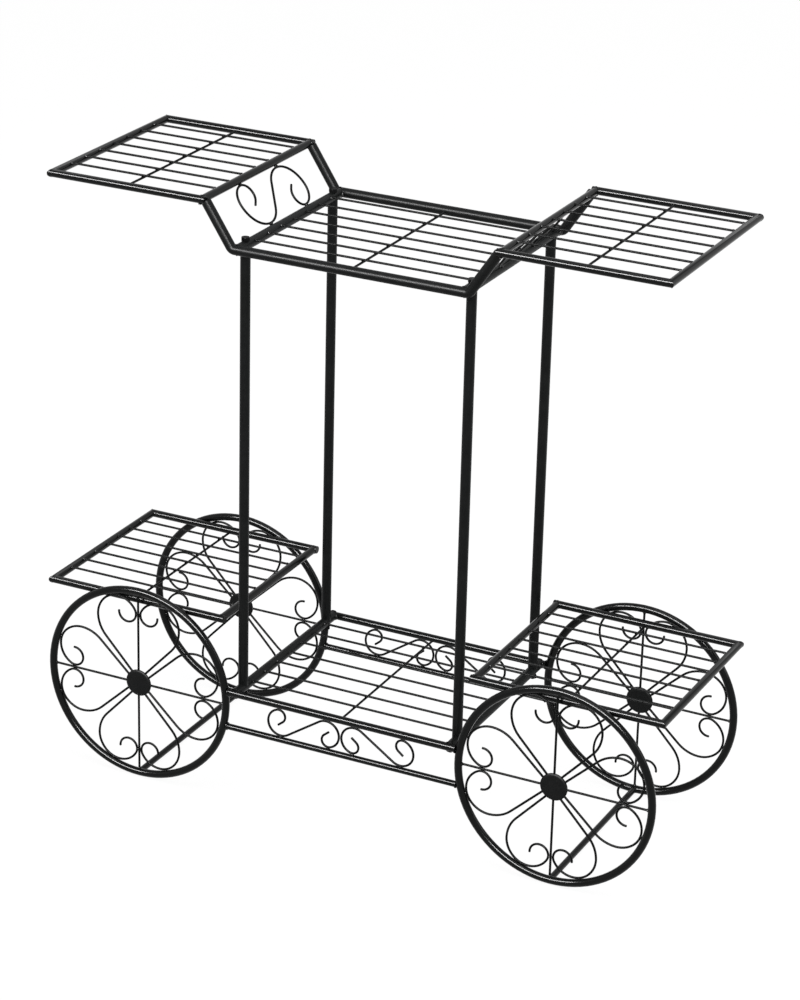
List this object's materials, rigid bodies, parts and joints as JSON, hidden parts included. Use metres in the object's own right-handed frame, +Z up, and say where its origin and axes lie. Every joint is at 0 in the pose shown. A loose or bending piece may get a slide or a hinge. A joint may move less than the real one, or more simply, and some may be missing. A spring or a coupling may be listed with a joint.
{
  "type": "flower cart stand",
  "caption": "Tiered metal plant stand shaped like a cart: wire shelves at several heights on tube frames, raised by posts and carried on ornamental scroll wheels.",
  "frame": {"origin": "centre of the footprint, on the floor under the wheels", "axes": "+X along the cart towards its right end, +Y from the front wheels to the back wheels, +Z up"},
  "size_m": [0.855, 0.2846, 0.8013],
  "materials": {
    "black_paint": "gloss",
    "bolt_black": "satin",
    "insert_steel": "satin"
  },
  "bodies": {
    "root": {"back_left_curls": "black_paint", "back_left_hub_disc": "black_paint", "back_left_post": "black_paint", "back_left_rim": "black_paint", "back_left_spokes": "black_paint", "back_panel_lower_rail": "black_paint", "back_panel_scrolls": "black_paint", "back_panel_upper_rail": "black_paint", "back_right_curls": "black_paint", "back_right_hub_disc": "black_paint", "back_right_post": "black_paint", "back_right_rim": "black_paint", "back_right_spokes": "black_paint", "centre_shelf_cross_wire": "black_paint", "centre_shelf_slats": "black_paint", "front_left_curls": "black_paint", "front_left_hub_disc": "black_paint", "front_left_post": "black_paint", "front_left_rim": "black_paint", "front_left_spokes": "black_paint", "front_panel_lower_rail": "black_paint", "front_panel_scrolls": "black_paint", "front_panel_upper_rail": "black_paint", "front_right_curls": "black_paint", "front_right_hub_disc": "black_paint", "front_right_post": "black_paint", "front_right_rim": "black_paint", "front_right_spokes": "black_paint", "left_bottom_cross_bar": "black_paint", "left_mid_shelf_cross_wire": "black_paint", "left_mid_shelf_inner_rail": "black_paint", "left_mid_shelf_rail": "black_paint", "left_mid_shelf_slats": "black_paint", "left_slope_scroll": "black_paint", "left_wing_cross_wire": "black_paint", "left_wing_inner_rail": "black_paint", "left_wing_rail": "black_paint", "left_wing_slats": "black_paint", "lower_left_end_bar": "black_paint", "lower_right_end_bar": "black_paint", "lower_shelf_cross_wire": "black_paint", "lower_shelf_slats": "black_paint", "post_bottom_bolts": "bolt_black", "post_thread_plugs": "insert_steel", "post_top_bolts": "bolt_black", "right_bottom_cross_bar": "black_paint", "right_mid_shelf_cross_wire": "black_paint", "right_mid_shelf_inner_rail": "black_paint", "right_mid_shelf_rail": "black_paint", "right_mid_shelf_slats": "black_paint", "right_slope_scroll": "black_paint", "right_wing_cross_wire": "black_paint", "right_wing_inner_rail": "black_paint", "right_wing_rail": "black_paint", "right_wing_slats": "black_paint", "top_back_rail": "black_paint", "top_front_rail": "black_paint", "top_left_end_rail": "black_paint", "top_right_end_rail": "black_paint"}
  },
  "joints": []
}
